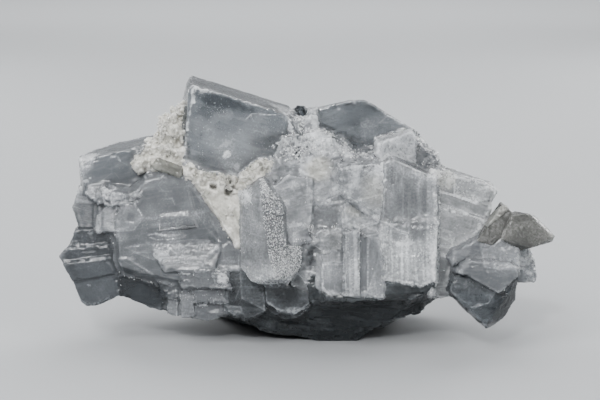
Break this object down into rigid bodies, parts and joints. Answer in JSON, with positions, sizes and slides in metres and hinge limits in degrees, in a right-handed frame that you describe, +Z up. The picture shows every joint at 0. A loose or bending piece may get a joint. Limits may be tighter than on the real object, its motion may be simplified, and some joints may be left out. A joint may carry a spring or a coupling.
{
  "type": "barite crystal specimen",
  "caption": "Cluster of icy grey tabular crystals with cleaved steps and patches of sugary cream crust, resting on a flat broken face.",
  "frame": {"origin": "under the middle of the cluster's box, on the level it rests on", "axes": "+Z up as it rests, +X to the right along its length, and its front with the large crystal faces looks along -Y"},
  "size_m": [0.117, 0.0558, 0.0642],
  "materials": {
    "clear_barite": "smooth translucent bluish-grey crystal faces with cleavage lines",
    "smoky_barite": "darker glassy translucent crystal",
    "frosted_barite": "frosted, finely striated translucent crystal",
    "beige_barite": "frosted crystal with a faint beige tint",
    "cream_crust": "sugary granular crust of tiny cream-white crystals"
  },
  "bodies": {
    "root": {"central_prism": "clear_barite", "lower_columns": "frosted_barite", "right_block": "clear_barite", "frosty_wedge": "frosted_barite", "pocket_crystals": "smoky_barite", "right_shoulder": "frosted_barite", "right_slab": "frosted_barite", "far_right_blade": "beige_barite", "far_right_crystals": "clear_barite", "lower_right_crystal": "smoky_barite", "bottom_crystals": "smoky_barite", "cream_crust_wedge": "cream_crust", "tall_crystal": "clear_barite", "top_right_crystal": "clear_barite", "crust_prism": "smoky_barite", "cream_crust_top": "cream_crust", "small_back_crystal": "smoky_barite", "left_cap_crystal": "clear_barite", "left_ledge_crystal": "frosted_barite", "left_stack": "clear_barite", "left_mass": "clear_barite", "lower_left_steps": "clear_barite", "base_mass": "smoky_barite", "back_crystals": "clear_barite"}
  },
  "joints": []
}
